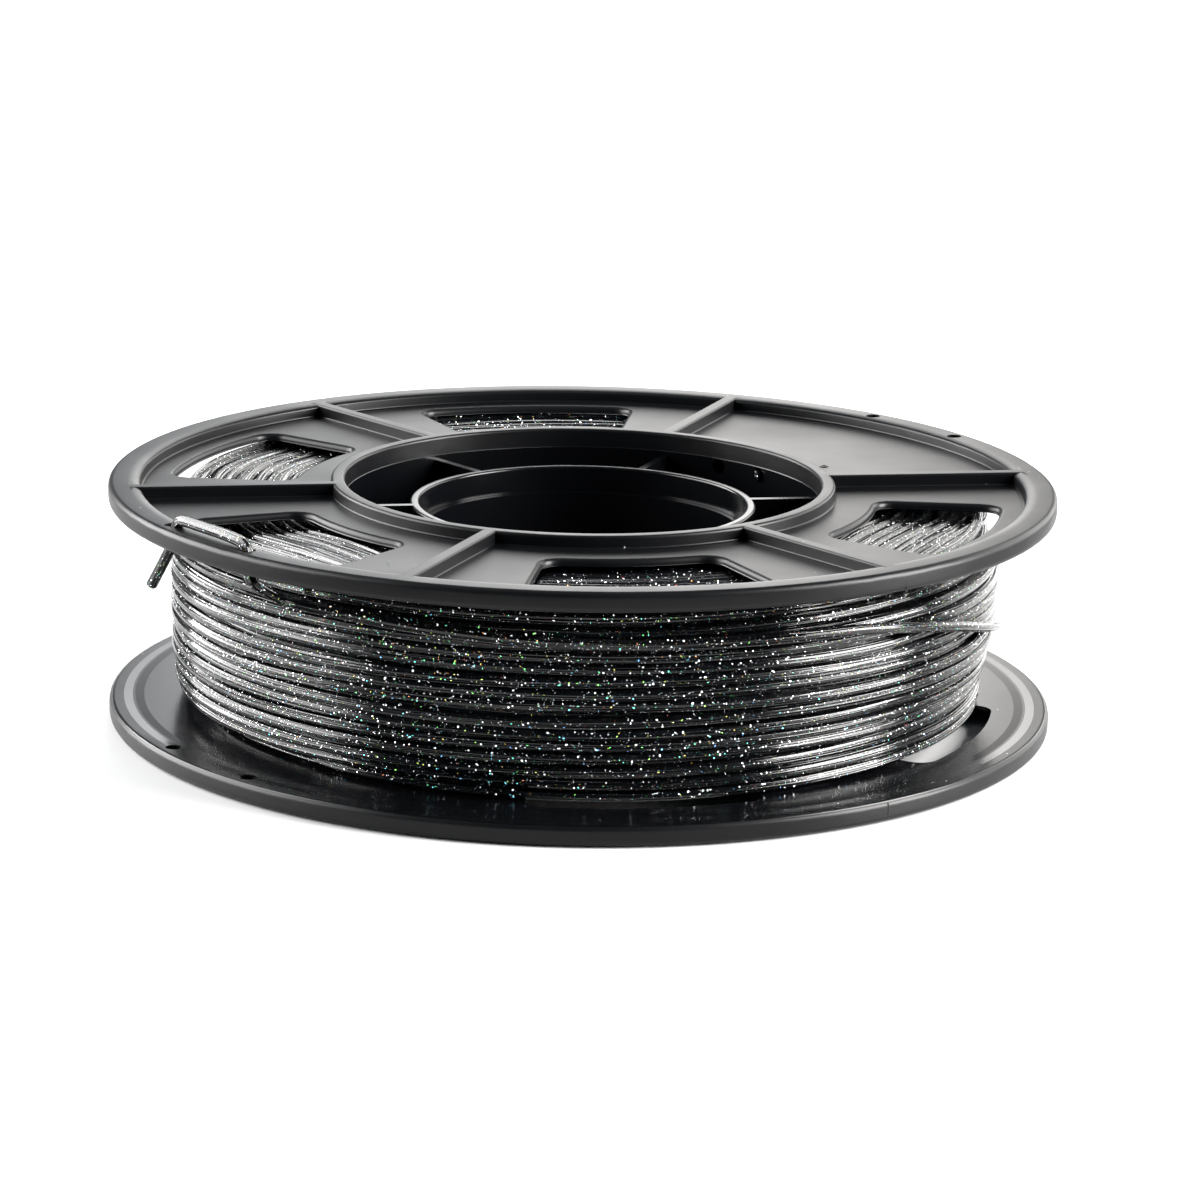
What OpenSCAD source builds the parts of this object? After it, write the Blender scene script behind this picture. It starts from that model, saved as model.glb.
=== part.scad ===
// Filament spool: two moulded halves that plug together at mid width and carry one long strand.
// The spool stands on its lower flange: its axis is +Z, and z = 0 is the flange's outer face.
// The first rib of each flange points along +X, and the plain panel faces an azimuth of 30 degrees.

/* [Flanges] */
// Outer diameter of both flanges
flange_d = 150; // [146:1:190]
// Overall width, over both flanges
spool_w = 38; // [34:0.5:60]
// Thickness of the rim, the ribs and the drum's end ring
rim_t = 3.2; // [2.8:0.1:4]
// Depth of the recessed panels below the rim
recess_depth = 2; // [1.4:0.1:2]
// Width of the rim, from its outer edge to the recess
rim_w = 5; // [4.8:0.1:7]
// Width of the sloping shoulder along the rim's inner edge
shoulder_w = 1.9; // [1:0.1:2.4]
// Drop of that shoulder
shoulder_drop = 0.6; // [0.3:0.1:0.8]
// Radius of the rim's outer corners
rim_corner = 0.9; // [0.3:0.1:1.1]
// Fillet at the foot of the recess walls, and nearly that of the ribs
foot_fillet = 0.3; // [0.2:0.1:0.7]

/* [Ribs] */
// Number of ribs on a flange
rib_count = 6; // [3:1:10]
// Width of a rib
rib_w = 2.2; // [1.6:0.1:4]
// Rounding of a rib's upper corners
rib_corner = 0.3; // [0.1:0.1:0.4]

/* [Windows] */
// Angle between a window's side and the middle of the rib next to it
window_margin = 13.7; // [12:0.1:15]
// Radius of a window's inner side
window_in_r = 46.5; // [46:0.5:50]
// Strip of panel between a window and the rim
window_strip = 4; // [3:0.5:8]
// Corner radius of a window
window_corner = 3; // [1.5:0.5:4]
// Rounding of a window's upper edge
window_lip = 0.8; // [0.4:0.1:0.8]

/* [Drum] */
// Diameter that the filament is wound on
drum_d = 80; // [76:1:82]
// Wall of the drum
drum_wall = 2.2; // [1.8:0.1:3]
// Height of the tongue that locates the drum's two halves
tongue_h = 3; // [2:0.5:5]
// Thickness of that tongue
tongue_t = 1; // [0.7:0.1:1.2]

/* [Bore] */
// Bore that the spool turns on
bore_d = 50; // [46:1:52]
// Wall of the spigot on the lower half
spigot_wall = 0.9; // [0.8:0.1:1.5]
// How far the spigot reaches into the sleeve of the upper half
spigot_reach = 11; // [6:0.5:12]
// Height of the bead round the spigot that snaps into a groove in the sleeve
snap_bead = 0.3; // [0.2:0.05:0.5]
// Wall of the sleeve that the spigot plugs into
sleeve_wall = 1.5; // [1.2:0.1:2.5]
// Distance of the sleeve's end below the rim
sleeve_inset = 3.8; // [2:0.1:6]
// Rounding of the sleeve's end
sleeve_corner = 0.4; // [0.1:0.1:0.5]
// Thickness of the webs between sleeve and drum
web_t = 1.2; // [0.8:0.1:2]
// Radial clearance of the plug-in joints
plug_clearance = 0.1; // [0.05:0.01:0.2]

/* [Strand holes] */
// Diameter of the holes that hold the strand's ends
hole_d = 2.4; // [2.2:0.1:2.8]
// Distance of the rim holes from the flange's outer edge
hole_inset = 2.7; // [2.4:0.1:3]
// Spacing of the two rim holes of a pair
hole_spacing = 19.9; // [14:0.1:26]
// Azimuths of the two holes through the drum, from the middle of the plain panel
start_offsets = [1.2, 14.5];

/* [Filament] */
// Diameter of the filament
filament_d = 1.75; // [1.7:0.01:1.8]
// Depth of the winding's surface below the flanges' outer edge
wound_margin = 9; // [9:0.5:13]
// Least gap between neighbouring turns of the outer layer
turn_gap = 0.45; // [0.42:0.01:0.6]
// How much smaller the winding's radius is at the lower flange
wound_taper = 1; // [0:0.1:2]
// Height of that tapered zone
taper_h = 5; // [4:0.5:8]
// Clearance between the filament and the lower flange and drum, which it is pressed against
wound_clearance = 0.1; // [0.05:0.01:0.3]
// Gap between the winding and the upper flange
wound_top_gap = 0.9; // [0.1:0.1:1.5]
// Clearance between the outer layer and the wound mass below it
layer_clearance = 0.3; // [0.1:0.05:0.5]
// Gap that the last turn keeps from the turns it crosses
crossing_gap = 0.6; // [0.5:0.05:1]
// Depth below the upper face at which the last turn ends
last_turn_depth = 8.7; // [8:0.1:10]
// Length of the start that sticks out inside the drum
start_reach = 2.4; // [1:0.1:4]

/* [Tail] */
// Depth below the flange at which the tail turns up into its first hole
tail_entry_depth = 2.6; // [2.6:0.1:3.2]
// Radius of the bends below the rim
tail_bend = 3; // [2.5:0.1:3]
// Radius of the bends above the rim
tail_rim_bend = 1.4; // [1.1:0.1:2]
// Height of the tail's middle above the rim that it lies across
tail_lift = 1.25; // [1.1:0.05:2]
// Depth of the cut end below the upper face
tail_drop = 10.5; // [8:0.5:14]
// How far the cut end leans along the rim
tail_lean = 5.7; // [3:0.1:7]

/* [Hidden] */

flange_r = flange_d / 2;
half_w = spool_w / 2;
recess_r = flange_r - rim_w;
shoulder_r = recess_r + shoulder_w;
panel_top = half_w - recess_depth;
panel_bottom = half_w - rim_t;
window_out_r = recess_r - window_strip;
drum_r = drum_d / 2;
drum_in_r = drum_r - drum_wall;
tongue_r = drum_in_r + tongue_t;
bore_r = bore_d / 2;
spigot_r = bore_r + spigot_wall;
sleeve_in_r = spigot_r + plug_clearance;
sleeve_r = sleeve_in_r + sleeve_wall;
sleeve_top = half_w - sleeve_inset;
snap_half_h = 2 * snap_bead;
snap_z = spigot_reach - 3;
// The drum's ring and the ribs are rounded at heights of their own, so that no two edges
// that cross lie at one height
ring_corner = 0.45;
rib_fillet = 0.8 * foot_fillet;
hole_r = flange_r - hole_inset;
hole_half_angle = asin(hole_spacing / 2 / hole_r);
start_z = panel_bottom - hole_d / 2;
sector = 360 / rib_count;
plain_azimuth = sector / 2;
window_half_angle = sector / 2 - window_margin;
merge = 0.2;
through = 1;
moulding_color = [0.11, 0.11, 0.12];
filament_color = [0.35, 0.36, 0.38];
$fn = 96;

// ---- outlines ----

// Points along an arc about c, from angle a0 to a1, in n steps
function arc(c, r, a0, a1, n) =
    [for (i = [0 : n]) let (a = a0 + (a1 - a0) * i / n) [c[0] + r * cos(a), c[1] + r * sin(a)]];

// Section of a flange and its half of the drum, as radius and height above mid width. The
// joint's points lead down the drum's inner side, and back to its outer side at mid width
function flange_section(joint) = concat(
    [[drum_r, 0], [drum_r, panel_bottom]],
    arc([flange_r - rim_corner, panel_bottom + rim_corner], rim_corner, -90, 0, 4),
    arc([flange_r - rim_corner, half_w - rim_corner], rim_corner, 0, 90, 4),
    [for (i = [0 : 4]) [shoulder_r - shoulder_w * sin(22.5 * i),
                        half_w - shoulder_drop * (1 - cos(22.5 * i))]],
    arc([recess_r - foot_fillet, panel_top + foot_fillet], foot_fillet, 0, -90, 4),
    arc([drum_r + foot_fillet, panel_top + foot_fillet], foot_fillet, 270, 180, 4),
    arc([drum_r - ring_corner, half_w - ring_corner], ring_corner, 0, 90, 3),
    arc([drum_in_r + ring_corner, half_w - ring_corner], ring_corner, 90, 180, 3),
    joint);

// Section of the tube round the bore, whose end has rounded corners. The joint's points lead
// down the bore, and back to the tube's outer side at mid width
function tube_section(in_r, joint) = let (c = sleeve_corner) concat(
    [[sleeve_r, 0]],
    arc([sleeve_r - c, sleeve_top - c], c, 0, 90, 3),
    arc([in_r + c, sleeve_top - c], c, 90, 180, 3),
    joint);

// Section of a rib across its length, with filleted feet and rounded upper corners
function rib_section() = let (f = rib_fillet, w = rib_w / 2, c = rib_corner) concat(
    [[-w - f, panel_top - merge], [w + f, panel_top - merge]],
    arc([w + f, panel_top + f], f, 270, 180, 3),
    arc([w - c, half_w - c], c, 0, 90, 3),
    arc([-w + c, half_w - c], c, 90, 180, 3),
    arc([-w - f, panel_top + f], f, 0, -90, 3));

// Outline of a window about +X, grown by g: two arcs about the axis and two sides that
// run towards it, with round corners whose centres don't move as it grows
function window_outline(g) = let (
    c = window_corner,
    out_a = window_half_angle - asin(c / (window_out_r - c)),
    in_a = window_half_angle - asin(c / (window_in_r + c)),
    side_a = window_half_angle + 90,
    out_c = [(window_out_r - c) * cos(out_a), (window_out_r - c) * sin(out_a)],
    in_c = [(window_in_r + c) * cos(in_a), (window_in_r + c) * sin(in_a)])
    without_repeats(concat(
        arc([0, 0], window_in_r - g, -in_a, in_a, 8),
        arc(in_c, c + g, in_a + 180, side_a, 4),
        arc(out_c, c + g, side_a, out_a, 4),
        arc([0, 0], window_out_r + g, out_a, -out_a, 10),
        arc([out_c[0], -out_c[1]], c + g, -out_a, -side_a, 4),
        arc([in_c[0], -in_c[1]], c + g, -side_a, -in_a - 180, 4)));

// A closed outline without the points that neighbouring arcs share
function without_repeats(p) = [for (i = [0 : len(p) - 1])
                                   if (norm(p[i] - p[(i + 1) % len(p)]) > 0.001) p[i]];

// ---- one moulded half, its outer face up and mid width at z = 0 ----

// Cutter for one window: its walls are straight, and its upper edge is rounded
module window_cutter() {
    steps = 3;
    layers = concat(
        [[panel_bottom - through, 0]],
        [for (i = [0 : steps]) let (a = 90 * i / steps)
            [panel_top - window_lip * (1 - sin(a)), window_lip * (1 - cos(a))]],
        [[half_w + through, window_lip]]);
    outline = window_outline(0);
    n = len(outline);
    points = [for (l = layers) for (p = window_outline(l[1])) [p[0], p[1], l[0]]];
    sides = [for (k = [0 : len(layers) - 2]) for (i = [0 : n - 1])
        let (a = k * n + i, b = k * n + (i + 1) % n)
        each [[a, b, b + n], [a, b + n, a + n]]];
    polyhedron(points, concat([[for (i = [n - 1 : -1 : 0]) i]], sides,
                              [[for (i = [0 : n - 1]) (len(layers) - 1) * n + i]]));
}

module ribs() {
    for (i = [0 : rib_count - 1])
        rotate([0, 0, i * sector])
            translate([drum_r - drum_wall / 2, 0, 0])
                rotate([90, 0, 90])
                    linear_extrude(shoulder_r - drum_r + drum_wall / 2)
                        polygon(rib_section());
}

module webs(foot) {
    for (i = [0 : rib_count - 1])
        rotate([0, 0, i * sector])
            translate([sleeve_r - sleeve_wall / 2, -web_t / 2, foot])
                cube([drum_in_r - sleeve_r + sleeve_wall / 2 + drum_wall / 4, web_t,
                      sleeve_top - foot]);
}

// Two pairs of holes through the rim, and two holes through the drum for the strand's start
module strand_holes() {
    for (side = [0, 180], hand = [-1, 1])
        rotate([0, 0, plain_azimuth + side + hand * hole_half_angle])
            translate([hole_r, 0, panel_bottom - through])
                cylinder(d = hole_d, h = rim_t + 2 * through, $fn = 32);
    for (a = start_offsets)
        rotate([0, 0, plain_azimuth + a])
            translate([drum_in_r - through, 0, start_z])
                rotate([0, 90, 0])
                    cylinder(d = hole_d, h = drum_wall + 2 * through, $fn = 32);
}

// A flange with its half of the drum and of the bore's tube. The webs start at web_foot
module half(drum_section, bore_section, web_foot) {
    difference() {
        union() {
            rotate_extrude()
                polygon(drum_section);
            rotate_extrude()
                polygon(bore_section);
            ribs();
            webs(web_foot);
        }
        for (i = [1 : rib_count - 1])
            rotate([0, 0, plain_azimuth + i * sector])
                window_cutter();
        strand_holes();
    }
}

// ---- sub-parts ----

// The half with the sleeve, which has a groove for the snap bead
module upper_half() {
    lap_h = tongue_h + plug_clearance;
    lap_r = tongue_r + plug_clearance;
    groove_h = snap_half_h + plug_clearance;
    color(moulding_color)
        translate([0, 0, half_w])
            half(flange_section([[drum_in_r, lap_h], [lap_r, lap_h], [lap_r, 0]]),
                 tube_section(sleeve_in_r, [[sleeve_in_r, snap_z + groove_h],
                                            [sleeve_in_r + snap_bead, snap_z],
                                            [sleeve_in_r, snap_z - groove_h],
                                            [sleeve_in_r, 0]]),
                 lap_h + plug_clearance);
}

// The same moulding turned over, with a spigot and a tongue that plug into the upper half
module lower_half() {
    color(moulding_color)
        translate([0, 0, half_w])
            rotate([180, 0, 2 * plain_azimuth])
                half(flange_section([[drum_in_r, -tongue_h], [tongue_r, -tongue_h],
                                     [tongue_r, 0]]),
                     tube_section(bore_r, [[bore_r, -spigot_reach], [spigot_r, -spigot_reach],
                                           [spigot_r, -snap_z - snap_half_h],
                                           [spigot_r + snap_bead, -snap_z],
                                           [spigot_r, snap_half_h - snap_z],
                                           [spigot_r, 0]]),
                     0);
}

// ---- the strand ----

wound_r = flange_r - wound_margin;
wire_r = filament_d / 2;
ring_step = 15;
rings_per_turn = 360 / ring_step;
wire_sides = 6;
tail_sides = 8;

wound_low = rim_t + wound_clearance;
wound_high = spool_w - rim_t - wound_top_gap;
layer_r = wound_r - wire_r;
core_r = layer_r * cos(ring_step / 2) - wire_r - layer_clearance;
core_in_r = drum_r + wound_clearance;
crossing_r = layer_r + filament_d + crossing_gap;

function polar(r, a, z) = [r * cos(a), r * sin(a), z];
function unit(v) = v / norm(v);

// A smooth step from 0 to 1, and how far k has come in a stretch of so many steps
function smooth(t) = t * t * (3 - 2 * t);
function done(k, from, count) = max(0, min(1, (k - from) / count));

// Points between a and b, without the two
function between(a, b, n) = [for (i = [1 : n - 1]) a + (b - a) * i / n];

// A round bend of radius r in place of the corner b between a and c
function bend(a, b, c, r, n) = let (
    u = unit(a - b),
    w = unit(c - b),
    corner = acos(u * w),
    centre = b + unit(u + w) * r / sin(corner / 2),
    start = b + u * r / tan(corner / 2) - centre,
    end = b + w * r / tan(corner / 2) - centre,
    turn = 180 - corner)
    [for (i = [0 : n]) let (t = turn * i / n)
        centre + (sin(turn - t) * start + sin(t) * end) / sin(turn)];

// The outer layer winds down clockwise, steps outwards over the turns already laid, and
// crosses them on its way back up
low_z = wound_low + wire_r;
high_z = wound_high - wire_r;
end_z = spool_w - last_turn_depth;
crossing_top_z = end_z - 1;
layer_turns = floor((high_z - low_z) / (filament_d + turn_gap));
layer_start_azimuth = 105;
layer_steps = layer_turns * rings_per_turn;
out_steps = 2;
climb_steps = 11;
last_steps = 2;
turn_steps = layer_steps + out_steps + climb_steps + last_steps;

function taper(z) = wound_taper * max(0, 1 - (z - wound_low) / taper_h);
function turn_z(k) =
    high_z + (low_z - high_z) * done(k, 0, layer_steps)
    + (crossing_top_z - low_z) * smooth(done(k, layer_steps + out_steps, climb_steps))
    + (end_z - crossing_top_z) * done(k, turn_steps - last_steps, last_steps);
function turn_r(k) = let (out = smooth(done(k, layer_steps, out_steps)))
    (1 - out) * (layer_r - taper(turn_z(k))) + out * crossing_r;
turn_points = [for (k = [0 : turn_steps])
    polar(turn_r(k), layer_start_azimuth - ring_step * k, turn_z(k))];

// It comes straight up out of a pocket in the wound mass, and bends into the layer
pocket_azimuth = layer_start_azimuth + 2.4;
pocket_floor_r = core_r - 2;
pocket_bend = 1.4;
pocket_floor = polar(pocket_floor_r, pocket_azimuth, high_z);
pocket_points = concat(
    [pocket_floor],
    bend(pocket_floor, polar(layer_r, pocket_azimuth, high_z), turn_points[0], pocket_bend, 3));

// The tail passes up through one rim hole, lies across the rim and goes down through the
// other, below which it is cut off
entry_hole = polar(hole_r, plain_azimuth + 180 + hole_half_angle, spool_w);
exit_hole = polar(hole_r, plain_azimuth + 180 - hole_half_angle, spool_w);
tail_corners = [
    entry_hole - [0, 0, rim_t + tail_entry_depth],
    entry_hole + [0, 0, tail_lift],
    exit_hole + [0, 0, tail_lift],
    exit_hole - [0, 0, rim_t + wire_r]];
tail_cut = exit_hole + tail_lean * unit(exit_hole - entry_hole) - [0, 0, tail_drop];

// The last turn ends straight, in line with the tail
last_point = turn_points[turn_steps];
tail_start = last_point + filament_d * unit(tail_corners[0] - last_point);
outer_points = concat(pocket_points, turn_points, [tail_start]);

entry_bend = bend(tail_start, tail_corners[0], tail_corners[1], tail_bend, 5);
rise_bend = bend(tail_corners[0], tail_corners[1], tail_corners[2], tail_rim_bend, 5);
fall_bend = bend(tail_corners[1], tail_corners[2], tail_corners[3], tail_rim_bend, 5);
exit_bend = bend(tail_corners[2], tail_corners[3], tail_cut, tail_bend, 3);
tail_points = concat(
    [tail_start],
    between(tail_start, entry_bend[0], 6),
    entry_bend,
    rise_bend,
    between(rise_bend[5], fall_bend[0], 4),
    fall_bend,
    exit_bend,
    between(exit_bend[3], tail_cut, 3),
    [tail_cut]);

// Least gap of the outer turns to themselves, measured between their points
gap_skip = rings_per_turn / 2;
least_gap = min([for (i = [0 : len(outer_points) - 1 - gap_skip])
                 for (j = [i + gap_skip : len(outer_points) - 1])
                     norm(outer_points[i] - outer_points[j])]) - filament_d;

// Direction of the path p at point i, which halves the bend there
function direction(p, i) = let (n = len(p) - 1)
    i == 0 ? unit(p[1] - p[0]) :
    i == n ? unit(p[n] - p[n - 1]) :
    unit(unit(p[i + 1] - p[i]) + unit(p[i] - p[i - 1]));

// One side vector for each point of the path p, square to it and carried along without twist
function square_to(v, t) = unit(v - (v * t) * t);
function carried(p, first) = [for (k = 0, s = square_to(first, direction(p, 0));
                                   k < len(p);
                                   k = k + 1,
                                   s = square_to(s, direction(p, min(k, len(p) - 1)))) s];

// Rings of a tube that follows the path p, and its faces
function tube_points(p, sides) = let (frames = carried(p, [0, 0, 1]))
    [for (i = [0 : len(p) - 1]) let (u = frames[i], v = cross(direction(p, i), u))
        for (s = [0 : sides - 1]) let (a = 360 * (s + 0.5) / sides)
            p[i] + wire_r * (cos(a) * u + sin(a) * v)];
function tube_faces(rings, sides) = concat(
    [for (s = [1 : sides - 2]) [0, s + 1, s]],
    [for (k = [0 : rings - 2]) for (s = [0 : sides - 1])
        let (a = k * sides + s, b = k * sides + (s + 1) % sides)
        each [[a, b, b + sides], [a, b + sides, a + sides]]],
    [for (s = [1 : sides - 2]) let (o = (rings - 1) * sides) [o, o + s, o + s + 1]]);
module wire(p, sides) {
    polyhedron(tube_points(p, sides), tube_faces(len(p), sides));
}

// The wound mass below the outer layer
module filament_core() {
    color(filament_color)
        difference() {
            rotate_extrude()
                polygon([[core_in_r, wound_low], [core_r - wound_taper, wound_low],
                         [core_r, wound_low + taper_h], [core_r, wound_high],
                         [core_in_r, wound_high]]);
            rotate([0, 0, pocket_azimuth])
                translate([pocket_floor_r, 0, high_z])
                    rotate([0, 90, 0])
                        cylinder(r = wire_r + layer_clearance, h = core_r, $fn = 32);
        }
}

module filament_outer_turns() {
    echo(least_gap_of_the_outer_turns = least_gap);
    color(filament_color)
        wire(outer_points, wire_sides);
}

module filament_tail() {
    color(filament_color)
        wire(tail_points, tail_sides);
}

// The strand's start, which comes through the drum from under the winding
module filament_start() {
    end_clearance = wound_clearance / 2;
    color(filament_color)
        rotate([0, 0, plain_azimuth + start_offsets[0]])
            translate([drum_in_r - start_reach, 0, half_w + start_z])
                rotate([0, 90, 0])
                    cylinder(r = wire_r, h = start_reach + core_in_r - end_clearance - drum_in_r,
                             $fn = 32);
}

upper_half();
lower_half();
filament_core();
filament_outer_turns();
filament_tail();
filament_start();
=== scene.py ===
"""Looks for the filament spool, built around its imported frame.

The spool stands on its lower flange with its axis along +Z. Lengths of the spool are in millimetres here and
in metres in Blender; the studio, camera and floor are in metres. The strand is one long tube: it winds down
the outside, climbs back over its own turns and ends in the tail that is threaded through the rim. The two
mouldings are the frame's own meshes with smooth shading across their roundings, and the lower one is turned
half round, as the photograph shows it.
"""

import itertools
import math

import bmesh
import bpy
import numpy as np
from mathutils import Matrix, Vector


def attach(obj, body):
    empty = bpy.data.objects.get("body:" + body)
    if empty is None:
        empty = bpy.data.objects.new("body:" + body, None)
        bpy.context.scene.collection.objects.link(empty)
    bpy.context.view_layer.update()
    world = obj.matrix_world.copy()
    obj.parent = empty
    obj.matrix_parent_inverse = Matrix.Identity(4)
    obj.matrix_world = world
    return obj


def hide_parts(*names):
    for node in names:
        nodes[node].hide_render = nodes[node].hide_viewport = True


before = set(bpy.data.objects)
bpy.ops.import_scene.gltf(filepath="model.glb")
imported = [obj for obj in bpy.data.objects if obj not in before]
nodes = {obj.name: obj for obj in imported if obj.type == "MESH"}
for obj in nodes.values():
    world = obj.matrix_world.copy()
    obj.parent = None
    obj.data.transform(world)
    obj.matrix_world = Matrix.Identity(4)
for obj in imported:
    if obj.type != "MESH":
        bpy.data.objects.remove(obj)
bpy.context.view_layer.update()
scene = bpy.context.scene
MM = 0.001
rng = np.random.default_rng(7)

# ---- sizes that the frame has, in millimetres ----

FLANGE_R = 75.0
WIDTH = 38.0
RIM_T = 3.2
RECESS = 2.0
DRUM_R = 40.0
DRUM_WALL = 2.2
HOLE_R = 72.3
HOLE_HALF_ANGLE = 7.9
PLAIN_AZIMUTH = 30.0
START_AZIMUTH = 31.2
START_Z = 33.6
# Radius and diameter of the filament, and the room for it between the flanges
WIRE_R = 0.875
WIRE_D = 2 * WIRE_R
WOUND_LOW = RIM_T + 0.1
WOUND_HIGH = WIDTH - RIM_T - 0.1

# ---- camera ----

# Fitted to the circles of the flanges, drum and bore in the photograph, in metres. The nudge then turns the
# camera a hair to its left.
CAMERA_AT = (-0.11241, -0.68643, 0.19282)
CAMERA_FORWARD = (0.16117, 0.95640, -0.24358)
CAMERA_RIGHT = (0.98671, -0.16136, 0.01931)
CAMERA_NUDGE = 0.00027

camera_data = bpy.data.cameras.new("camera")
camera = bpy.data.objects.new("camera", camera_data)
scene.collection.objects.link(camera)
scene.camera = camera
camera_data.sensor_width = 36.0
camera_data.lens = 134.7
camera_data.clip_start = 0.05
forward = Vector(CAMERA_FORWARD).normalized()
right = Vector(CAMERA_RIGHT)
right = (right - forward * right.dot(forward)).normalized()
forward = (forward - right * CAMERA_NUDGE).normalized()
right = (right - forward * right.dot(forward)).normalized()
up = right.cross(forward)
turn = Matrix((right, up, -forward)).transposed().to_4x4()
camera.matrix_world = Matrix.Translation(CAMERA_AT) @ turn

# ---- stage and light ----

# The studio's own axes are turned about the spool: its -Y looks from the spool to the camera
STUDIO_TURN = math.radians(-9.3)


def studio(x, y, z):
    """A point of the studio, in metres, as a point of the spool's frame."""
    c, s = math.cos(STUDIO_TURN), math.sin(STUDIO_TURN)
    return Vector((c * x - s * y, s * x + c * y, z))


def link(name, data):
    o = bpy.data.objects.new(name, data)
    scene.collection.objects.link(o)
    return o


def mesh_object(name, verts, faces):
    data = bpy.data.meshes.new(name)
    data.from_pydata([tuple(v) for v in verts], [], [tuple(int(i) for i in f) for f in faces])
    data.update()
    data.shade_smooth()
    return link(name, data)


def area_light(name, at, target, width, height, radiance, colour=(1, 1, 1)):
    """A softbox that the camera doesn't see, placed and aimed in the studio."""
    data = bpy.data.lights.new(name, "AREA")
    data.shape = "RECTANGLE"
    data.size, data.size_y = width, height
    data.energy = radiance * math.pi * width * height
    data.color = colour
    o = link(name, data)
    o.location = studio(*at)
    aim = studio(*target) - o.location
    o.rotation_euler = aim.to_track_quat("-Z", "Y").to_euler()
    o.visible_camera = False


class Nodes:
    """Short calls for the node tree of one material."""

    def __init__(self, name):
        self.material = bpy.data.materials.new(name)
        self.material.use_nodes = True
        self.tree = self.material.node_tree
        self.shader = self.tree.nodes["Principled BSDF"]
        self.place = self.tree.nodes.new("ShaderNodeTexCoord").outputs["Object"]

    def add(self, kind, inputs=None, **settings):
        n = self.tree.nodes.new("ShaderNode" + kind)
        for key, value in settings.items():
            setattr(n, key, value)
        for key, value in (inputs or {}).items():
            self.put(n.inputs[key], value)
        return n

    def put(self, socket, value):
        if isinstance(value, bpy.types.NodeSocket):
            self.tree.links.new(value, socket)
        else:
            socket.default_value = value

    def set(self, **values):
        for key, value in values.items():
            self.put(self.shader.inputs[key.replace("_", " ")], value)

    def math(self, operation, a, b=0.0):
        return self.add("Math", {0: a, 1: b}, operation=operation).outputs[0]

    def vector(self, operation, a, b=None, **inputs):
        given = {0: a, **inputs} if b is None else {0: a, 1: b, **inputs}
        return self.add("VectorMath", given, operation=operation).outputs

    def ramp(self, value, low, high, out_low=0.0, out_high=1.0):
        return self.add("MapRange", {"Value": value, "From Min": low, "From Max": high, "To Min": out_low,
                                     "To Max": out_high}).outputs["Result"]

    def mix(self, factor, a, b, data_type="RGBA"):
        n = self.add("Mix", data_type=data_type)
        self.put(n.inputs["Factor"], factor)
        self.put(n.inputs["A"], a)
        self.put(n.inputs["B"], b)
        return n.outputs["Result"]

    def mix_value(self, factor, a, b):
        return self.mix(factor, a, b, "FLOAT")

    def noise(self, scale, detail=2.0, roughness=0.5, place=None):
        return self.add("TexNoise", {"Vector": place or self.place, "Scale": scale, "Detail": detail,
                                     "Roughness": roughness}).outputs["Fac"]

    def cells(self, scale, place=None):
        return self.add("TexVoronoi", {"Vector": place or self.place, "Scale": scale})

    def stretched(self, place, scale, rotation=(0.0, 0.0, 0.0)):
        return self.add("Mapping", {"Vector": place, "Scale": scale, "Rotation": rotation}).outputs["Vector"]

    def bump(self, height, distance, strength=1.0, normal=None):
        inputs = {"Height": height, "Distance": distance, "Strength": strength}
        if normal is not None:
            inputs["Normal"] = normal
        return self.add("Bump", inputs).outputs["Normal"]


# The white sheet, in metres: half its width beside the spool, by how much that grows per metre away from the
# camera, the width of its soft edge, and where it fades out in front
SHEET_HALF = 0.1245
SHEET_SPREAD = 0.137
SHEET_EDGE = 0.03
SHEET_FRONT = (-0.265, -0.23)


def floor_material():
    """A white sheet that widens away from the camera, on a grey table: it fills the view, and the spool's front
    and sides mirror the table beyond it."""
    n = Nodes("floor_white")
    place = n.add("SeparateXYZ", {0: n.place}).outputs
    edge = n.math("ADD", n.math("MULTIPLY", place["Y"], SHEET_SPREAD), SHEET_HALF)
    within = n.math("SUBTRACT", edge, n.math("ABSOLUTE", place["X"]))
    sheet = n.math("MULTIPLY", n.ramp(within, -SHEET_EDGE, 0.0), n.ramp(place["Y"], *SHEET_FRONT))
    n.set(Base_Color=n.mix(sheet, (0.13, 0.13, 0.135, 1), (0.6, 0.6, 0.6, 1)), Roughness=0.5)
    return n.material


# Brightness of the backdrop across the studio, in metres from its middle
BACKDROP = ((-0.80, 0.05), (-0.50, 0.45), (-0.28, 0.95), (-0.15, 3.3), (0.0, 4.0), (0.10, 4.3), (0.17, 4.4),
            (0.26, 1.9), (0.40, 0.9), (0.60, 0.3), (0.80, 0.05))
BACKDROP_HALF = 0.8
BACKDROP_MOST = 4.5
# Its radius and height in metres, and half its arc
BACKDROP_R = 1.9
BACKDROP_HEIGHT = 1.3
BACKDROP_ARC = 1.15


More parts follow.
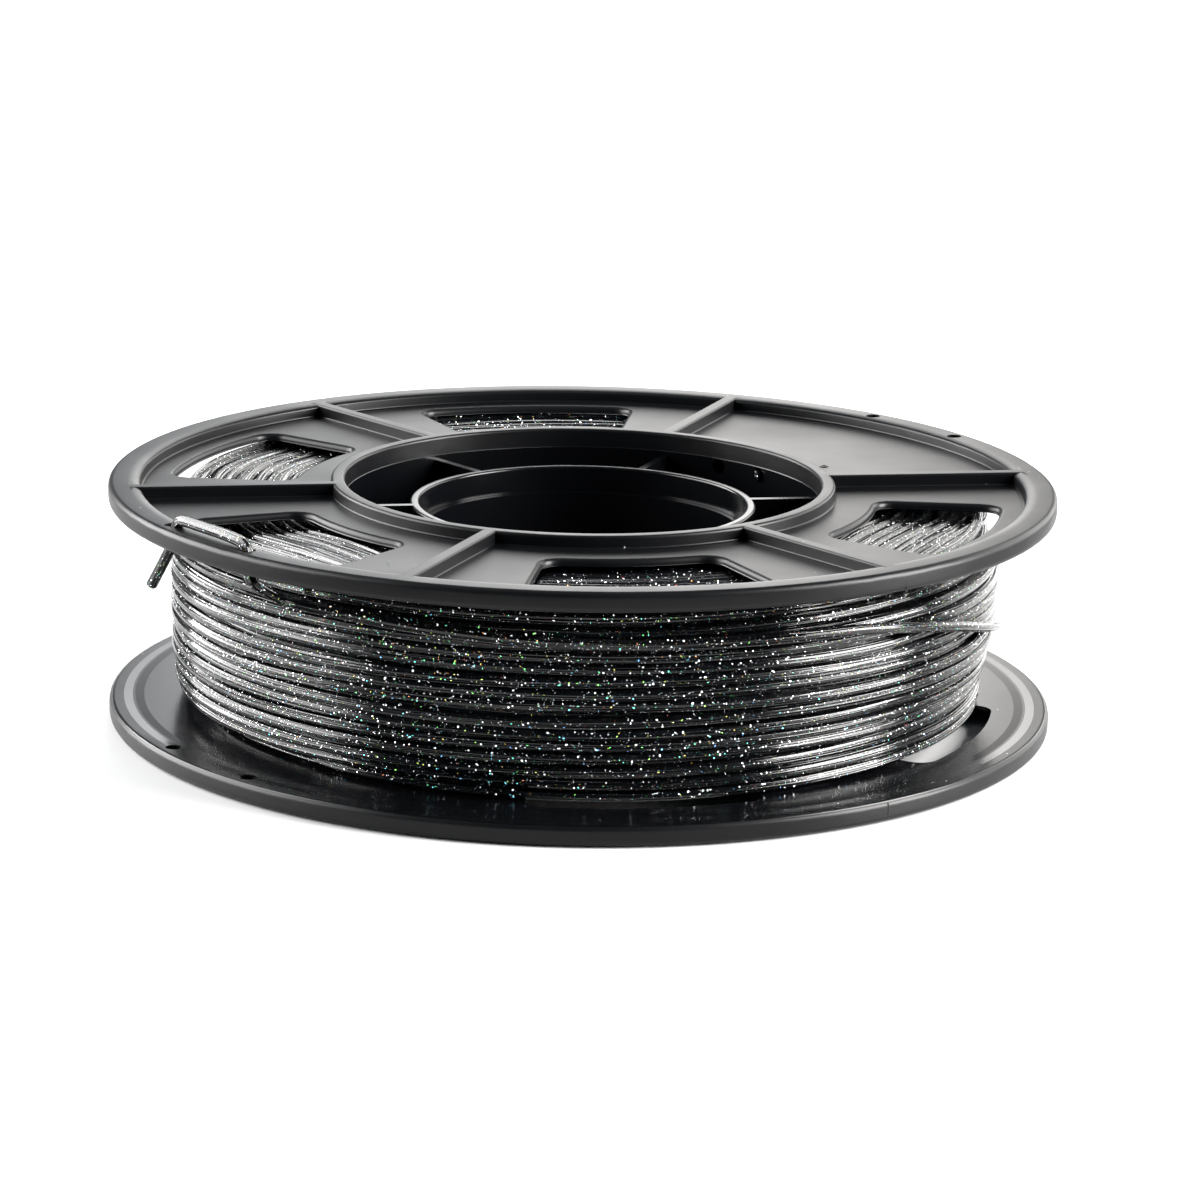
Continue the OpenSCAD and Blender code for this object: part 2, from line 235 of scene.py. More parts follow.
def backdrop_material():
    """A lit white sweep straight behind the spool, which fades out to both sides and is cooler at its left."""
    n = Nodes("backdrop_white")
    across = n.add("SeparateXYZ", {0: n.place}).outputs["X"]
    curve = n.add("ValToRGB", {"Fac": n.ramp(across, -BACKDROP_HALF, BACKDROP_HALF)})
    stops = curve.color_ramp.elements
    for k, (x, strength) in enumerate(BACKDROP):
        stop = stops[0] if k == 0 else stops.new(0.5 + 0.5 * x / BACKDROP_HALF)
        stop.position = 0.5 + 0.5 * x / BACKDROP_HALF
        level = strength / BACKDROP_MOST
        stop.color = (level, level, level, 1)
    stops.remove(stops[-1])
    tint = n.mix(n.ramp(across, -0.35, 0.05), (0.93, 0.97, 1.0, 1), (1.0, 0.985, 0.965, 1))
    n.set(Base_Color=(0, 0, 0, 1), Roughness=1.0, Emission_Color=tint,
          Emission_Strength=n.math("MULTIPLY", curve.outputs["Color"], BACKDROP_MOST))
    return n.material


FLOOR_R = 6.0
# The floor lies a hair below the spool
FLOOR_DROP = 0.0002


def make_stage():
    sides = 64
    rim = [(FLOOR_R * math.cos(a), FLOOR_R * math.sin(a), 0.0)
           for a in np.linspace(0, 2 * math.pi, sides + 1)[:-1]]
    floor = mesh_object("floor", [(0, 0, 0), *rim], [(0, i + 1, (i + 1) % sides + 1) for i in range(sides)])
    floor.location.z = -FLOOR_DROP
    floor.rotation_euler.z = STUDIO_TURN
    floor.data.materials.append(floor_material())
    steps = 24
    verts = [(BACKDROP_R * math.sin(a), BACKDROP_R * math.cos(a), z)
             for a in np.linspace(-BACKDROP_ARC, BACKDROP_ARC, steps + 1) for z in (0.0, BACKDROP_HEIGHT)]
    wall = mesh_object("backdrop", verts, [(2 * i, 2 * i + 2, 2 * i + 3, 2 * i + 1) for i in range(steps)])
    wall.rotation_euler.z = STUDIO_TURN
    wall.data.materials.append(backdrop_material())

    area_light("softbox_left", at=(-1.15, 0.28, 0.52), target=(0, 0, 0.02), width=1.6, height=0.95,
               radiance=15.5, colour=(1.0, 0.99, 0.985))
    area_light("softbox_right", at=(1.2, -0.20, 0.52), target=(0, 0, 0.02), width=0.75, height=0.95,
               radiance=39.0, colour=(1.0, 0.985, 0.97))
    area_light("overhead", at=(0.0, 0.3, 1.7), target=(0, 0, 0), width=1.6, height=1.2, radiance=0.5)

    world = bpy.data.worlds.new("studio")
    scene.world = world
    world.use_nodes = True
    world.node_tree.nodes["Background"].inputs["Color"].default_value = (0.4, 0.7, 1.0, 1)
    world.node_tree.nodes["Background"].inputs["Strength"].default_value = 0.09
    scene.view_settings.view_transform = "Standard"
    scene.view_settings.look = "None"


make_stage()

# ---- materials ----

# Radius of the sink mark round each rim, on the side that holds the winding
SINK_MARK_R = 71.1


def spool_material():
    """Black moulded plastic: satin outside and shinier on the faces that hold the winding, with fine scuffs, a
    sink mark round each rim and a few flakes of shed glitter."""
    n = Nodes("spool_plastic")
    height = n.add("SeparateXYZ", {0: n.place}).outputs["Z"]
    radius = n.vector("LENGTH", n.vector("MULTIPLY", n.place, (1.0, 1.0, 0.0))[0])["Value"]
    inside = n.math("MULTIPLY", n.ramp(height, (RIM_T - 0.25) * MM, (RIM_T - 0.1) * MM),
                    n.ramp(height, (WIDTH - RIM_T + 0.1) * MM, (WIDTH - RIM_T + 0.25) * MM, 1.0, 0.0))
    cloud = n.noise(55, 3, 0.55)
    grain = n.noise(2600, 2, 0.6)
    scuff_lines = n.noise(900, 2, 0.6, n.stretched(n.place, (1.0, 0.12, 0.4), (0.0, 0.0, 0.6)))
    scuff = n.math("MULTIPLY", n.ramp(scuff_lines, 0.66, 0.78), n.ramp(n.noise(38, 2, 0.5), 0.57, 0.7))
    flakes = n.math("LESS_THAN", n.cells(300).outputs["Distance"], 0.035)
    shed = n.math("MULTIPLY", flakes, n.ramp(n.noise(45, 1), 0.56, 0.62))
    base = n.mix(n.ramp(cloud, 0.3, 0.7), (0.0012, 0.0014, 0.0018, 1), (0.0017, 0.0019, 0.0024, 1))
    base = n.mix(n.math("MULTIPLY", scuff, 0.12), base, (0.12, 0.12, 0.125, 1))
    base = n.mix(shed, base, (0.5, 0.52, 0.54, 1))
    rough = n.math("ADD", n.ramp(cloud, 0.3, 0.7, 0.34, 0.39), n.math("MULTIPLY", scuff, 0.1))
    rough = n.math("SUBTRACT", rough, n.math("MULTIPLY", inside, 0.17))
    sink = n.ramp(n.math("ABSOLUTE", n.math("SUBTRACT", radius, SINK_MARK_R * MM)), 0.2 * MM, 1.6 * MM)
    shape = n.bump(n.math("MULTIPLY", sink, inside), 0.00012, 1.0)
    waves = n.bump(n.noise(24, 2, 0.4), 0.0007, 0.13, shape)
    n.set(Base_Color=base, Roughness=rough, Normal=n.bump(grain, 0.00003, 0.18, waves))
    n.set(IOR=1.5)
    n.shader.inputs["Specular IOR Level"].default_value = 0.2
    return n.material


# Flakes in the filament: cells per metre, size as a share of a cell, and how far they tilt from the surface
FLAKES = ((2600, 0.2, 1.6), (1500, 0.15, 1.9), (900, 0.095, 2.2))


def filament_material():
    """Clear black filament with a hard gloss and fine draw lines along it, full of silver flakes that lie at
    all angles, a few of which show a colour. It is laid out along the straightened strand."""
    n = Nodes("glitter_filament")
    strand = n.add("Attribute", attribute_type="GEOMETRY", attribute_name="strand").outputs["Vector"]
    mask, cell, lean = None, None, None
    for scale, size, tilt in FLAKES:
        found = n.cells(scale, strand)
        here = n.math("LESS_THAN", found.outputs["Distance"], size)
        mask = here if mask is None else n.math("MAXIMUM", mask, here)
        cell = found.outputs["Color"] if cell is None else n.mix(here, cell, found.outputs["Color"])
        lean = n.math("MULTIPLY", here, tilt) if lean is None else n.mix_value(here, lean, tilt)
    chance = n.add("SeparateColor", {"Color": cell}).outputs
    hue = n.add("CombineColor", {0: n.math("MULTIPLY", chance[2], 0.62), 1: 0.8, 2: 0.85}, mode="HSV")
    tinted = n.math("GREATER_THAN", chance[1], 0.8)
    flake = n.mix(tinted, (0.70, 0.72, 0.76, 1), hue.outputs["Color"])
    facing = n.vector("SUBTRACT", cell, (0.5, 0.5, 0.5))[0]
    facing = n.vector("SCALE", facing, Scale=lean)[0]
    draw = n.noise(2300, 1, 0.5, n.stretched(strand, (1.0, 1.0, 0.008)))
    lumps = n.noise(1500, 2, 0.6, n.stretched(strand, (1.0, 1.0, 0.3)))
    gloss = n.bump(lumps, 0.00005, 0.5, n.bump(draw, 0.00055, 1.0))
    normal = n.vector("NORMALIZE", n.vector("ADD", n.bump(draw, 0.00045, 1.0), facing)[0])[0]
    body = n.mix(n.ramp(n.noise(420, 2, 0.6, strand), 0.35, 0.7), (0.0007, 0.0007, 0.0009, 1),
                 (0.0025, 0.0026, 0.0030, 1))
    n.set(Base_Color=n.mix(mask, body, flake), Metallic=mask, Roughness=0.22, Normal=normal)
    n.set(IOR=1.5)
    n.shader.inputs["Specular IOR Level"].default_value = 0.05
    n.shader.inputs["Coat Weight"].default_value = 0.8
    n.shader.inputs["Coat Roughness"].default_value = 0.05
    n.shader.inputs["Coat IOR"].default_value = 1.4
    n.put(n.shader.inputs["Coat Normal"], gloss)
    return n.material


SPOOL = spool_material()
FILAMENT = filament_material()

# ---- the two mouldings ----

# Edges up to this angle stand for a rounding, and corners this close, in metres, are one
SHARP_ANGLE = math.radians(38)
SAME_CORNER = 2e-6


def moulding(name, node, turned):
    """The frame's mesh of one half, shaded smoothly where its faces stand for a rounding. A turned one faces
    the other way round the axis. Its plain panel then lies opposite, and so do two hidden holes for the strand's
    start; all else on it comes in pairs."""
    source = nodes[node].data
    flip = -1.0 if turned else 1.0
    verts = [(flip * v.co.x, flip * v.co.y, v.co.z) for v in source.vertices]
    o = mesh_object(name, verts, [tuple(p.vertices) for p in source.polygons])
    bm = bmesh.new()
    bm.from_mesh(o.data)
    bmesh.ops.remove_doubles(bm, verts=bm.verts, dist=SAME_CORNER)
    for face in bm.faces:
        face.smooth = True
    for edge in bm.edges:
        edge.smooth = len(edge.link_faces) == 2 and edge.calc_face_angle() < SHARP_ANGLE
    bm.to_mesh(o.data)
    bm.free()
    normals = o.modifiers.new("normals", "WEIGHTED_NORMAL")
    normals.keep_sharp = True
    o.data.materials.append(SPOOL)
    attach(o, "root")
    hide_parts(node)


moulding("upper_moulding", "upper_half", False)
moulding("lower_moulding", "lower_half", True)

# ---- tubes ----

# Bevel of a cut end, as a share of the radius
CUT_BEVEL = 0.12
# Where each tube starts on the straightened strand, in mm, so that no two show the same flakes
tube_starts = itertools.count(137.0, 137.0)


def unit(v):
    return v / np.maximum(np.linalg.norm(v, axis=-1, keepdims=True), 1e-12)


def tube(points, radius, sides=12):
    """Vertices and faces of a tube along points, whose cut ends have a small bevel, and each vertex's place on
    the straightened strand. All are in the points' own unit."""
    p = np.asarray(points, float)
    tangent = unit(np.gradient(p, axis=0))
    side = np.zeros_like(p)
    first = np.array([0.0, 0.0, 1.0]) if abs(tangent[0, 2]) < 0.9 else np.array([1.0, 0.0, 0.0])
    side[0] = unit(first - tangent[0] * (first @ tangent[0]))
    for i in range(1, len(p)):
        s = side[i - 1] - tangent[i] * (side[i - 1] @ tangent[i])
        side[i] = s / np.linalg.norm(s)
    other = np.cross(tangent, side)
    bevel = CUT_BEVEL * radius
    p = np.concatenate([p[:1], p[:1] + tangent[0] * bevel, p[1:-1], p[-1:] - tangent[-1] * bevel, p[-1:]])
    side = np.concatenate([side[:1], side, side[-1:]])
    other = np.concatenate([other[:1], other, other[-1:]])
    n = len(p)
    r = np.full(n, radius)
    r[0] = r[-1] = radius - bevel
    a = np.linspace(0, 2 * math.pi, sides, endpoint=False)
    ring = np.cos(a)[None, :, None] * side[:, None, :] + np.sin(a)[None, :, None] * other[:, None, :]
    verts = (p[:, None, :] + r[:, None, None] * ring).reshape(-1, 3)
    length = np.concatenate([[0], np.cumsum(np.linalg.norm(np.diff(p, axis=0), axis=1))]) + next(tube_starts)
    flat = np.stack(np.broadcast_arrays(r[:, None] * np.cos(a), r[:, None] * np.sin(a), length[:, None]), -1)
    faces = []
    for i in range(n - 1):
        for k in range(sides):
            m = (k + 1) % sides
            faces.append((i * sides + k, i * sides + m, (i + 1) * sides + m, (i + 1) * sides + k))
    faces.append(tuple(range(sides - 1, -1, -1)))
    faces.append(tuple(range((n - 1) * sides, n * sides)))
    return verts, faces, flat.reshape(-1, 3)


def joined(parts):
    """Several tubes as the vertices, faces and strand places of one mesh."""
    verts, faces, flat, base = [], [], [], 0
    for v, f, s in parts:
        verts.append(v)
        flat.append(s)
        faces += [tuple(i + base for i in face) for face in f]
        base += len(v)
    return np.concatenate(verts), faces, np.concatenate(flat)


def piece(name, verts_mm, faces, flat_mm, material, slot, *replaced):
    """One piece of the visual model, which stands for the replaced nodes if there are any."""
    o = mesh_object(name, np.asarray(verts_mm) * MM, faces)
    if flat_mm is not None:
        places = o.data.attributes.new("strand", "FLOAT_VECTOR", "POINT")
        places.data.foreach_set("vector", (np.asarray(flat_mm) * MM).astype(np.float32).ravel())
    o.data.materials.append(material)
    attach(o, "root")
    if replaced:
        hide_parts(*replaced)


def polar(r, azimuth, z):
    """Points from radius, azimuth in degrees and height."""
    a = np.radians(azimuth)
    return np.stack(np.broadcast_arrays(r * np.cos(a), r * np.sin(a), z), -1)


def smoothed(x, passes):
    """A row of numbers, each drawn towards its neighbours, with both ends kept."""
    for _ in range(passes):
        x = np.concatenate([x[:1], (x[:-2] + 2 * x[1:-1] + x[2:]) / 4, x[-1:]])
    return x


def wander(t, waves, seed_rng):
    """A slow random curve of t in turns, about 1 high, made of several sines."""
    out = np.zeros_like(t)
    for f in waves:
        out += seed_rng.normal() * np.sin(2 * math.pi * (f * t + seed_rng.random())) / math.sqrt(len(waves))
    return out


# ---- the outer turns ----

# Points in a turn, the angle between them, and the azimuth where the strand comes to the outside
BINS = 180
STEP = 360.0 / BINS
FIRST_AZIMUTH = 180.0
# Turns that show, and turns right under them
OUTER_TURNS = 16
BASE_TURNS = 17

# Radius of the winding at its slack side, the azimuth of its fuller side, and half of what it has more there
WOUND_R = 65.15
FULL_SIDE = 350.0
FULLER = 0.55
# The full side in terms of the cosine to it: where it begins and over how much it becomes full
FULL_FROM = 0.15
FULL_OVER = 0.65
# How far it is drawn in, against height: at the lower flange, there at the fuller side, and at the upper
# flange, of which the slack side has a share
LOW_IN = ((3.5, 6.5, 9.3, 12.0), (2.2, 1.1, 0.2, 0.0))
LOW_IN_FULL = ((4.0, 8.0, 12.3, 15.0, 16.6), (2.9, 2.3, 1.6, 0.8, 0.0))
HIGH_IN = ((28.0, 30.0, 31.5, 33.0), (0.0, 1.6, 2.2, 2.7))
HIGH_SLACK = 0.3
# Depth and half height of the dent that the last turn presses into the others
DENT = 0.75
DENT_HALF = 1.7

# Height of the last turn against azimuth as it climbs back over the others, and level to the tail's hole
CLIMB_AZ = np.array([152, 105, 90, 75, 60, 45, 30, 15, 0, -15, -19.4,
                     -31, -38, -44, -53, -60.5, -67, -76, -90, -105, -120, -132])
CLIMB_Z = np.array([4.2, 4.3, 4.3, 4.6, 5.6, 7.3, 9.5, 12.0, 14.5, 17.0, 18.2,
                    21.2, 23.2, 24.5, 26.4, 27.5, 27.7, 27.9, 28.0, 28.2, 28.7, 29.25])

# How far the turns under the upper flange stand out at the back, against azimuth, and where that back begins and
# ends, around and in height
BACK_AZ = (5, 55, 70, 110, 130, 143, 150, 158, 175)
BACK_OUT = (1.0, 1.5, 2.4, 2.5, 2.5, 2.5, 2.0, 0.5, -0.6)
BACK_AROUND = ((-12, 14, 158, 180), (0.0, 1.0, 1.0, 0.0))
BACK_HEIGHT = ((27.0, 31.0), (0.0, 1.0))


def envelope(az, z):
    """Radius of the winding's outside: fuller at one side, and drawn in at both flanges but at its upper back."""
    toward = np.cos(np.radians(az - FULL_SIDE))
    full = np.clip((toward - FULL_FROM) / FULL_OVER, 0, 1)
    low, low_full, high = np.interp(z, *LOW_IN), np.interp(z, *LOW_IN_FULL), np.interp(z, *HIGH_IN)
    climb_az = (np.asarray(az) + 210) % 360 - 210
    dent = DENT * np.exp(-(((z - np.interp(-climb_az, -CLIMB_AZ, CLIMB_Z)) / DENT_HALF) ** 2)) * full
    front_r = (WOUND_R + FULLER * (1 + toward) - low * (1 - full) - low_full * full
               - high * (HIGH_SLACK + (1 - HIGH_SLACK) * full) - dent)
    back_az = (np.asarray(az) + 90) % 360 - 90
    back = np.interp(back_az, *BACK_AROUND) * np.interp(z, *BACK_HEIGHT)
    return front_r * (1 - back) + (WOUND_R + np.interp(back_az, BACK_AZ, BACK_OUT)) * back


# How far the outer turns wander in height and are lifted off, how far those below them wander, and how much
# deeper these lie
WANDER = 0.95
LIFT = 0.9
BASE_WANDER = 0.3
BASE_DEPTH = 1.62
# The first turn stays level for this part of a turn, and doesn't sink at the back, against azimuth
LEVEL_TURNS = 0.4
HELD = ((40, 60, 158, 180), (0.0, 1.0, 1.0, 0.0))
# Passes of settling. In each a turn sinks a little, goes back a share of its way in height, and yields to the
# turns that it overlaps by a share of the overlap.
PASSES = 170
SINK = 0.015
GO_BACK = 0.03
YIELD = 0.6


def laid_turns():
    """Centres of the turns as radius and height for each azimuth step: they start as a helix that wanders, then
    are pushed apart and pulled inwards until each rests on its neighbours and on the turns below."""
    low, high = WOUND_LOW + WIRE_R, WOUND_HIGH - WIRE_R
    t = np.arange(OUTER_TURNS * BINS) / BINS
    az = FIRST_AZIMUTH - 360 * t
    # The turns beside a flange lie close to it, and only those between wander
    free = np.clip(t - 0.6, 0, 1) * np.clip((OUTER_TURNS - 0.3 - t) / 1.5, 0, 1)
    drift = WANDER * free * wander(t, (0.31, 0.73, 1.17, 1.61, 2.3, 3.4), rng)
    z = np.clip(high - (high - low) * (t - LEVEL_TURNS) / (OUTER_TURNS - LEVEL_TURNS) + drift, low, high)
    lift = LIFT * free * np.clip(wander(t, (0.4, 0.9, 1.4, 2.2), rng), 0, None)
    r = envelope(az, z) - WIRE_R + 0.1 + lift
    sink = SINK * (1 - np.interp(az % 360, *HELD) * (t < 1))
    base_t = np.arange(BASE_TURNS * BINS) / BINS
    base_z = low + (high - low) * base_t / BASE_TURNS
    base_z = np.clip(base_z + BASE_WANDER * wander(base_t, (0.37, 0.81, 1.43), rng), low, high)
    base_z = base_z.reshape(BASE_TURNS, BINS)
    base_az = FIRST_AZIMUTH - STEP * np.arange(BINS)
    base_r = envelope(base_az[None, :], base_z) - WIRE_R - BASE_DEPTH
    target = z.copy()
    for _ in range(PASSES):
        r = r - sink
        z = z + GO_BACK * (target - z)
        rr, zz = r.reshape(OUTER_TURNS, BINS), z.reshape(OUTER_TURNS, BINS)
        push_r, push_z = np.zeros_like(rr), np.zeros_like(zz)
        for k in range(OUTER_TURNS):
            for other_r, other_z, share in ((rr, zz, 0.5), (base_r, base_z, 1.0)):
                dr, dz = rr[k] - other_r, zz[k] - other_z
                gap = np.hypot(dr, dz)
                over = np.clip(WIRE_D - gap, 0, None) * share
                if share < 1:
                    over[k] = 0
                safe = np.maximum(gap, 1e-6)
                push_r[k] += (over * dr / safe).sum(0)
                push_z[k] += (over * dz / safe).sum(0)
        r = r + YIELD * push_r.reshape(-1)
        z = z + YIELD * push_z.reshape(-1)
        r, z = smoothed(r, 1), smoothed(z, 1)
        z = np.clip(z, low, high)
    return r, z, base_r, base_z


turn_r, turn_z, base_r, base_z = laid_turns()
turn_az = FIRST_AZIMUTH - STEP * np.arange(len(turn_r))

# Gap between the last turn and those it crosses, and over how many degrees it rises onto them
CROSSING_GAP = 0.06
RISE_ANGLE = 26.0


def strand_path():
    """The outer strand up to its tail: the laid turns, and the last one, which climbs back over them."""
    last_az = turn_az[-1] % 360
    steps = np.arange(1, int((last_az - CLIMB_AZ[-1]) / STEP) + 1)
    az = last_az - STEP * steps
    z = np.interp(-az, -CLIMB_AZ, CLIMB_Z)
    z[0] = turn_z[-1]
    z = smoothed(z, 6)
    all_r = np.concatenate([turn_r.reshape(OUTER_TURNS, BINS), base_r])
    all_z = np.concatenate([turn_z.reshape(OUTER_TURNS, BINS), base_z])
    column = np.round((FIRST_AZIMUTH - az) / STEP).astype(int) % BINS
    under_r, under_z = all_r[:, column], all_z[:, column]
    reach = np.sqrt(np.clip(WIRE_D**2 - (z - under_z) ** 2, 0, None))
    over = np.where(reach > 0, under_r + reach, 0).max(0)
    over[0] = turn_r[-1]
    over = smoothed(over, 8)
    r = over + CROSSING_GAP
    risen = np.clip((last_az - az) / RISE_ANGLE, 0, 1)
    risen = risen * risen * (3 - 2 * risen)
    r = turn_r[-1] * (1 - risen) + r * risen
    return np.concatenate([polar(turn_r, turn_az, turn_z), polar(r, az, z)])


def spline(points, step):
    """Points about one step apart on a smooth curve through the given ones."""
    p = np.asarray(points, float)
    ends = np.concatenate([2 * p[:1] - p[1:2], p, 2 * p[-1:] - p[-2:-1]])
    out = []
    for a, b, c, d in zip(ends[:-3], ends[1:-2], ends[2:-1], ends[3:]):
        ta, tb, tc, td = np.cumsum([0, *(np.linalg.norm(v) ** 0.5 for v in (b - a, c - b, d - c))])
        n = max(2, int(np.linalg.norm(c - b) / step) + 1)
        for t in np.linspace(tb, tc, n, endpoint=False):
            a1 = ((tb - t) * a + (t - ta) * b) / (tb - ta)
            a2 = ((tc - t) * b + (t - tb) * c) / (tc - tb)
            a3 = ((td - t) * c + (t - tc) * d) / (td - tc)
            b1 = ((tc - t) * a1 + (t - ta) * a2) / (tc - ta)
            b2 = ((td - t) * a2 + (t - tb) * a3) / (td - tb)
            out.append(((tc - t) * b1 + (t - tb) * b2) / (tc - tb))
    out.append(p[-1])
    return np.array(out)


def hole(side):
    """Middle of a rim hole at the upper face."""
    return polar(HOLE_R, PLAIN_AZIMUTH + 180 + side * HOLE_HALF_ANGLE, WIDTH)


# The tail leaves the winding through these points, as azimuth, radius and height
LEAD = ((222.5, 67.0, 29.75), (219.6, 67.5, 30.1), (218.2, 69.2, 31.4), (217.7, 71.2, 33.1))
# and goes over the rim along these, as distance along the line between the holes and height above the rim
OVER_RIM = ((-0.02, -3.3), (0.0, -1.4), (0.15, 0.0), (0.9, 0.66), (2.0, 0.92), (4.0, 1.08), (6.5, 1.18),
            (9.6, 1.2), (13.4, 1.21), (16.0, 1.22), (17.6, 0.95), (18.8, -0.1), (19.6, -1.6), (20.2, -3.2),
            (21.35, -5.0), (23.4, -7.7), (25.55, -10.46))
# The strand comes up to its first outer turn from inside: how much deeper it is, and how many degrees before it
FIRST_RISE = ((2.8, 8.0), (1.6, 5.5), (0.5, 3.0))


def outer_strand():
    """The path of the strand from where it comes to the outside to its cut end."""
    entry, leave = hole(1), hole(-1)
    along = unit(leave - entry)
    tail = [polar(r, az, z) for az, r, z in LEAD]
    tail += [entry + along * s + np.array([0, 0, h]) for s, h in OVER_RIM]
    laid = strand_path()
    path = np.concatenate([laid[:-3], spline(np.array([laid[-4], laid[-1], *tail]), 0.5)[1:]])
    first = [polar(turn_r[0] - deeper, turn_az[0] + before, turn_z[0]) for deeper, before in FIRST_RISE]
    return np.concatenate([spline(np.array([*first, laid[0]]), 0.6)[:-1], path])


piece("filament_strand", *tube(outer_strand(), WIRE_R, 14), FILAMENT, "filament", "filament_outer_turns",
      "filament_tail")

# ---- the wound mass: the turns below the outer ones, and the strands that its two sides show ----

# Middles of the six sectors between the ribs, the distance between their strands, how far a strand moves outwards
# from the middle to an end, over how many degrees to both sides it runs straight, how much deeper it gets towards
# one end, and how much further out all of them lie
SECTORS = ((30, 1.9, 0.0, 0, 0.0, 0.0), (90, 1.82, 0.0, 0, 0.0, 0.0), (150, 1.85, 0.0, 0, 0.0, 0.0),
           (210, 1.8, 0.8, 14, -1.0, 0.4), (270, 1.8, 0.3, 0, 0.0, 0.0), (330, 2.2, 1.4, 17, 0.7, 2.2))
# Degrees from the middle of a sector to the ends of its strands, and the two layers: depth, and by how many
# distances each begins further in
SECTOR_REACH = 33.0
LAYERS = ((0.05, 1.0), (1.45, 1.5))
# How far a strand dives at its ends, from which share of the way to them, and how much it is pulled in for each
# mm of that
DIVE = 2.4
DIVE_FROM = 0.82
DIVE_IN = 0.6
# How much a strand bends, sinks in waves and lies aside of its place
SIDE_WANDER = 0.10
SIDE_WAVE = 0.10
SIDE_SCATTER = 0.14


def side_strands(level, inward, seed):
    """The strands that a flange's windows show: in each sector they lie side by side in two layers and dive
    behind the ribs."""
    own = np.random.default_rng(seed)
    parts = []
    u = np.linspace(-1, 1, 27)
    dive = DIVE * np.clip((np.abs(u) - DIVE_FROM) / (1 - DIVE_FROM), 0, 1) ** 2
    least = DRUM_R + 0.1 + WIRE_R
    for middle, pitch, out, straight, deeper, further in SECTORS:
        az = middle + SECTOR_REACH * u
        chord = 1 / np.cos(np.radians(np.minimum(np.abs(SECTOR_REACH * u), straight)))
        edge = (envelope(az, level) - WIRE_R) * chord / chord.max() + further
        sunk = np.clip(u * deeper, 0, None)
        for depth, shift in LAYERS:
            for k in range(int((edge.min() - least) / pitch)):
                bend = SIDE_WANDER * wander((u + 1) / 2, (0.4, 0.7, 1.1), own)
                waves = SIDE_WAVE * (1 + np.sin(2 * math.pi * (u * 0.6 + own.random())))
                z = level + inward * (depth + own.uniform(0, 0.25) + dive + waves + sunk)
                aside = own.normal() * SIDE_SCATTER
                radius = edge - pitch * (k + shift) + bend + out * u + aside - DIVE_IN * dive
                parts.append(tube(polar(np.maximum(radius, least), az, z), WIRE_R, 10))
    return parts


def core_ring(profile):
    """The filler behind the strands that show, as one closed ring. Its material is laid out by its own shape."""
    steps = 144
    verts = np.concatenate([polar(r, np.arange(steps) * 360 / steps, z) for r, z in profile])
    n = len(profile)
    faces = []
    for i in range(n):
        j = (i + 1) % n
        for k in range(steps):
            m = (k + 1) % steps
            faces.append((i * steps + k, j * steps + k, j * steps + m, i * steps + m))
    return verts, faces, verts


def base_turns():
    """The turns that show through the gaps of the outer ones."""
    z = base_z.reshape(-1)
    az = FIRST_AZIMUTH - STEP * np.arange(len(z))
    return tube(polar(base_r.reshape(-1), az, z), WIRE_R, 10)


# The filler's section, as radius and height
CORE_IN = DRUM_R + 0.15
CORE_OUT = 61.2
CORE = ((CORE_IN, WOUND_LOW + 1.7), (CORE_OUT - 1.6, WOUND_LOW + 1.7), (CORE_OUT, WOUND_LOW + 6.0),
        (CORE_OUT, WOUND_HIGH - 6.0), (CORE_OUT - 2.0, WOUND_HIGH - 2.6), (CORE_IN, WOUND_HIGH - 2.6))
# The strands don't quite reach the upper flange
UPPER_GAP = 0.35

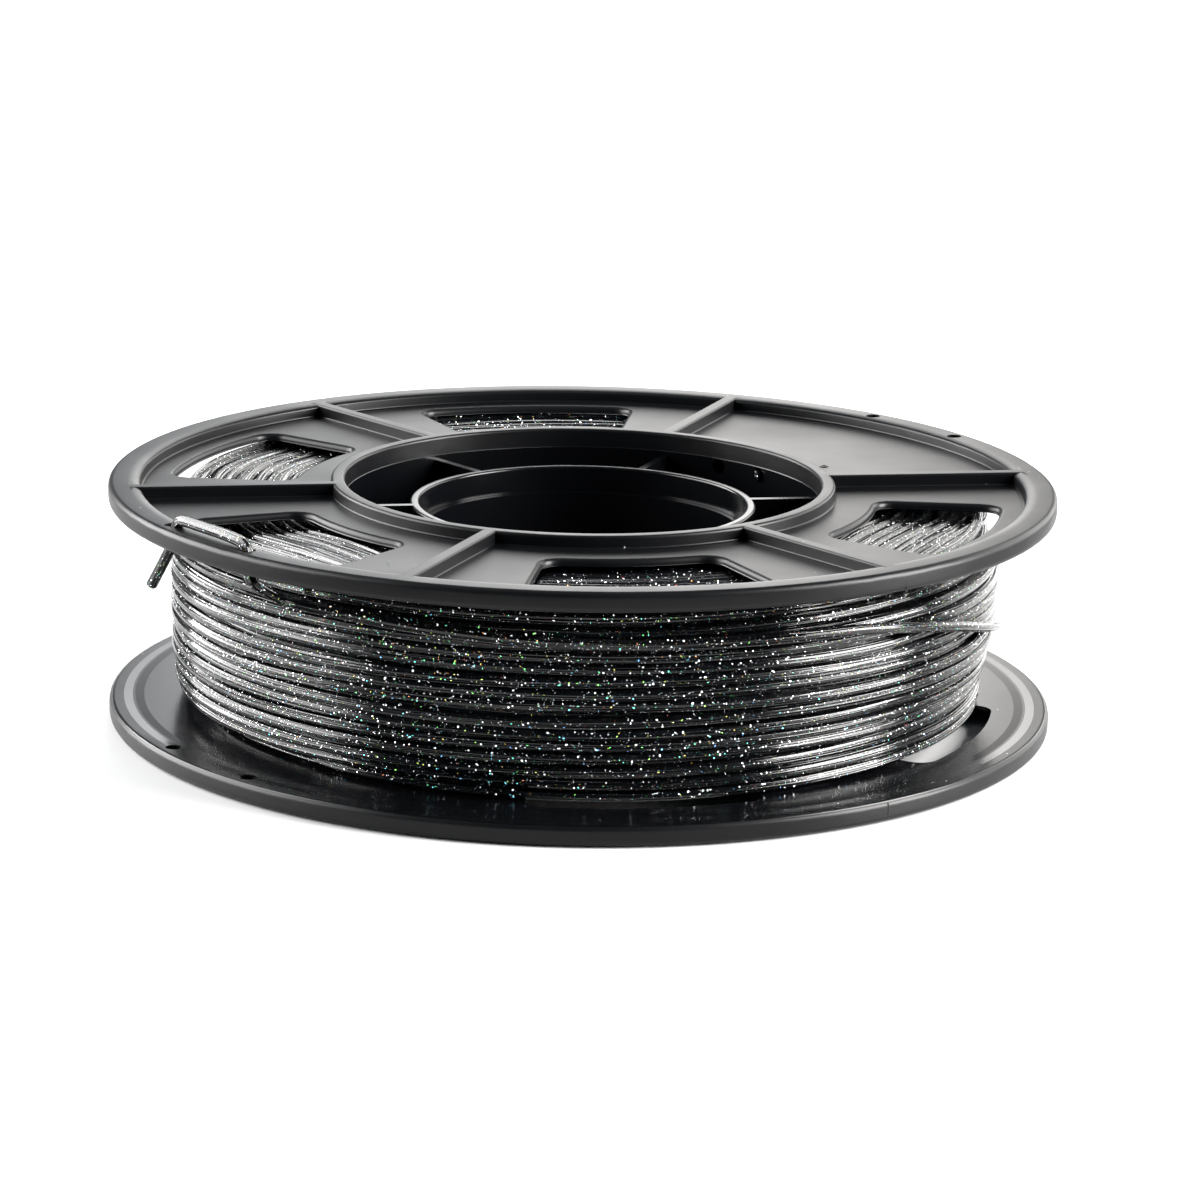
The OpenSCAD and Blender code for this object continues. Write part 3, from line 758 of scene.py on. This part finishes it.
mass = [core_ring(CORE)]
mass += side_strands(WOUND_HIGH - UPPER_GAP - WIRE_R, -1, seed=11)
mass += side_strands(WOUND_LOW + WIRE_R, 1, seed=12)
mass.append(base_turns())
piece("filament_wound_mass", *joined(mass), FILAMENT, "filament", "filament_core")

# ---- the start of the strand, which sticks out inside the drum ----


def start_stub():
    inside = DRUM_R - DRUM_WALL
    path = [polar(DRUM_R + 0.1, START_AZIMUTH, START_Z), polar(DRUM_R - 1.2, START_AZIMUTH, START_Z),
            polar(inside - 0.1, START_AZIMUTH, START_Z - 0.03),
            polar(inside - 0.5, START_AZIMUTH + 0.2, START_Z - 0.1)]
    return tube(spline(path, 0.4), WIRE_R, 12)


piece("filament_start_stub", *start_stub(), FILAMENT, "filament", "filament_start")

# ---- small marks of the moulds ----


def witness_line(azimuth, low, high, half_width=0.08, proud=0.03):
    """A fine raised line across a rim's outer face, where the mould's parts meet."""
    z = np.linspace(low, high, 5)
    verts, faces, _ = tube(polar(FLANGE_R + proud - half_width, azimuth, z), half_width, 8)
    return verts, faces, None


# Section of a gate mark: radius as a share of its size, and height above the panel in mm
GATE_SECTION = ((1.0, -0.02), (0.92, 0.10), (0.5, 0.13), (0.42, 0.05))


def gate_mark(azimuth, r, z, size):
    """The stub that is left where a moulding was cut from its runner: a shallow cone with a torn top."""
    centre = polar(r, azimuth, z)
    steps = 20
    verts, faces = [], []
    for share, height in GATE_SECTION:
        for k in range(steps):
            a = 2 * math.pi * k / steps
            verts.append(centre + np.array([size * share * math.cos(a), size * share * math.sin(a), height]))
    last = (len(GATE_SECTION) - 1) * steps
    for i in range(0, last, steps):
        for k in range(steps):
            m = (k + 1) % steps
            faces.append((i + k, i + m, i + steps + m, i + steps + k))
    faces.append(tuple(range(last, last + steps)))
    faces.append(tuple(range(steps - 1, -1, -1)))
    return np.array(verts), faces, None


piece("gate_mark_upper", *gate_mark(19.0, 44.6, WIDTH - RECESS, 0.75), SPOOL, "spool_plastic")
piece("witness_line_upper", *witness_line(300.1, 34.9, 36.6), SPOOL, "spool_plastic")
piece("witness_line_lower", *witness_line(298.55, 1.0, 2.9), SPOOL, "spool_plastic")
